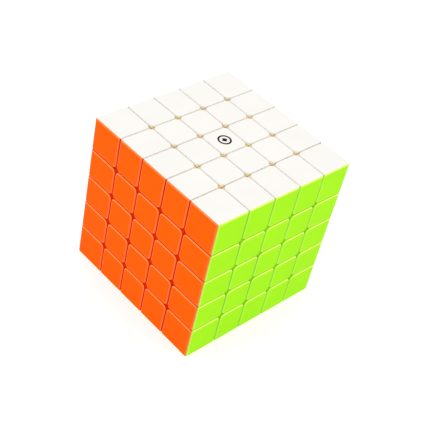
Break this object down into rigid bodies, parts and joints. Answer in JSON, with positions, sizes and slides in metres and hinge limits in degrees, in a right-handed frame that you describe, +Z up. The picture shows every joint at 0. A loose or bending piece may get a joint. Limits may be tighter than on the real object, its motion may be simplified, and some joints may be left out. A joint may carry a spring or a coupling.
{
  "type": "twisty puzzle cube",
  "caption": "Stickerless multi-layer twisty puzzle cube; coloured tiles on hooked inner bases round a screwed core, with layers that turn about the upright axis.",
  "frame": {"origin": "centre of the bottom face", "axes": "+Z up, through the white face; -Y is the green face, +X red, +Y blue, -X orange, -Z yellow"},
  "size_m": [0.062, 0.062, 0.062],
  "materials": {
    "inner_base": "satin moulded plastic",
    "white_tile": "satin, faintly warm white",
    "yellow_tile": "satin",
    "green_tile": "satin lime green",
    "red_tile": "satin",
    "blue_tile": "satin",
    "orange_tile": "satin",
    "core_plastic": "matt moulded plastic",
    "steel": "turned",
    "spring_steel": "drawn wire"
  },
  "bodies": {
    "middle_layer": {"middle_mid_edge_bases": "inner_base", "middle_t_centre_bases": "inner_base", "middle_face_centre_bases": "inner_base", "middle_green_tiles": "green_tile", "middle_red_tiles": "red_tile", "middle_blue_tiles": "blue_tile", "middle_orange_tiles": "orange_tile", "green_centre_cap": "green_tile", "red_centre_cap": "red_tile", "blue_centre_cap": "blue_tile", "orange_centre_cap": "orange_tile", "core": "core_plastic", "axle_screws": "steel", "tension_springs": "spring_steel", "washers": "steel"},
    "top_layer": {"top_corner_bases": "inner_base", "top_wing_bases": "inner_base", "top_mid_edge_bases": "inner_base", "top_x_centre_bases": "inner_base", "top_t_centre_bases": "inner_base", "top_face_centre_bases": "inner_base", "top_green_tiles": "green_tile", "top_red_tiles": "red_tile", "top_blue_tiles": "blue_tile", "top_orange_tiles": "orange_tile", "top_white_tiles": "white_tile", "white_centre_cap": "white_tile"},
    "upper_slice": {"upper_wing_bases": "inner_base", "upper_x_centre_bases": "inner_base", "upper_t_centre_bases": "inner_base", "upper_green_tiles": "green_tile", "upper_red_tiles": "red_tile", "upper_blue_tiles": "blue_tile", "upper_orange_tiles": "orange_tile"},
    "lower_slice": {"lower_wing_bases": "inner_base", "lower_x_centre_bases": "inner_base", "lower_t_centre_bases": "inner_base", "lower_green_tiles": "green_tile", "lower_red_tiles": "red_tile", "lower_blue_tiles": "blue_tile", "lower_orange_tiles": "orange_tile"},
    "bottom_layer": {"bottom_corner_bases": "inner_base", "bottom_wing_bases": "inner_base", "bottom_mid_edge_bases": "inner_base", "bottom_x_centre_bases": "inner_base", "bottom_t_centre_bases": "inner_base", "bottom_face_centre_bases": "inner_base", "bottom_green_tiles": "green_tile", "bottom_red_tiles": "red_tile", "bottom_blue_tiles": "blue_tile", "bottom_orange_tiles": "orange_tile", "bottom_yellow_tiles": "yellow_tile", "yellow_centre_cap": "yellow_tile"}
  },
  "joints": [
    {"name": "top_layer_turn", "type": "hinge", "parent": "middle_layer", "child": "top_layer", "pos_m": [0, 0, 0.031], "axis": [0, 0, 1], "continuous": true},
    {"name": "upper_slice_turn", "type": "hinge", "parent": "middle_layer", "child": "upper_slice", "pos_m": [0, 0, 0.031], "axis": [0, 0, 1], "continuous": true},
    {"name": "lower_slice_turn", "type": "hinge", "parent": "middle_layer", "child": "lower_slice", "pos_m": [0, 0, 0.031], "axis": [0, 0, 1], "continuous": true},
    {"name": "bottom_layer_turn", "type": "hinge", "parent": "middle_layer", "child": "bottom_layer", "pos_m": [0, 0, 0.031], "axis": [0, 0, 1], "continuous": true}
  ]
}
